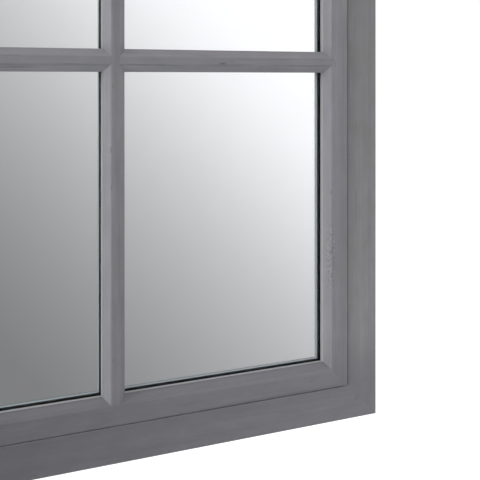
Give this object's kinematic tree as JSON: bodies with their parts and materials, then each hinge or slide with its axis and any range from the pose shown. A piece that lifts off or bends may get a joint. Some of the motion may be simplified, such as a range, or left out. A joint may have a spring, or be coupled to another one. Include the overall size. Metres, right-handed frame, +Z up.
{
  "type": "window mirror",
  "caption": "Rectangular wall mirror built like a glazed window: grey painted board frame, proud bevelled sash, scribed glazing bars and separate mirror panes, with ring hangers behind.",
  "frame": {"origin": "middle of the top rail's back face, on the plane of the frame's back", "axes": "+Z up, +X to the right seen from the front, +Y towards the wall; the mirror faces -Y"},
  "size_m": [0.9, 0.0385, 1.2],
  "materials": {
    "painted_wood": "satin grey paint over wood",
    "mirror_glass": "clear float glass, silvered behind",
    "hardboard": "raw board",
    "bare_wood": "unfinished",
    "zinc_screws": "zinc plated",
    "zinc_hangers": "zinc plated",
    "bumper_rubber": "moulded"
  },
  "bodies": {
    "frame": {"back_board": "hardboard", "back_board_screws": "zinc_screws", "cross_bar_lower": "painted_wood", "cross_bar_upper": "painted_wood", "hanger_screws": "zinc_screws", "hanger_strap_left": "zinc_hangers", "hanger_strap_right": "zinc_hangers", "mirror_pane_bottom_centre": "mirror_glass", "mirror_pane_bottom_left": "mirror_glass", "mirror_pane_bottom_right": "mirror_glass", "mirror_pane_middle_centre": "mirror_glass", "mirror_pane_middle_left": "mirror_glass", "mirror_pane_middle_right": "mirror_glass", "mirror_pane_top_centre": "mirror_glass", "mirror_pane_top_left": "mirror_glass", "mirror_pane_top_right": "mirror_glass", "outer_corner_splines": "bare_wood", "outer_rail_bottom": "painted_wood", "outer_rail_top": "painted_wood", "outer_stile_left": "painted_wood", "outer_stile_right": "painted_wood", "sash_corner_splines": "bare_wood", "sash_rail_bottom": "painted_wood", "sash_rail_top": "painted_wood", "sash_screws": "zinc_screws", "sash_stile_left": "painted_wood", "sash_stile_right": "painted_wood", "upright_bar_left": "painted_wood", "upright_bar_right": "painted_wood", "wall_bumper_left": "bumper_rubber", "wall_bumper_right": "bumper_rubber"},
    "ring_left": {"hanger_ring_left": "zinc_hangers"},
    "ring_right": {"hanger_ring_right": "zinc_hangers"}
  },
  "joints": [
    {"name": "left_ring_swing", "type": "hinge", "parent": "frame", "child": "ring_left", "pos_m": [-0.434, 0.00295, -0.384], "axis": [1, 0, 0], "range_deg": [0, 180]},
    {"name": "right_ring_swing", "type": "hinge", "parent": "frame", "child": "ring_right", "pos_m": [0.434, 0.00295, -0.384], "axis": [1, 0, 0], "range_deg": [0, 180]}
  ]
}
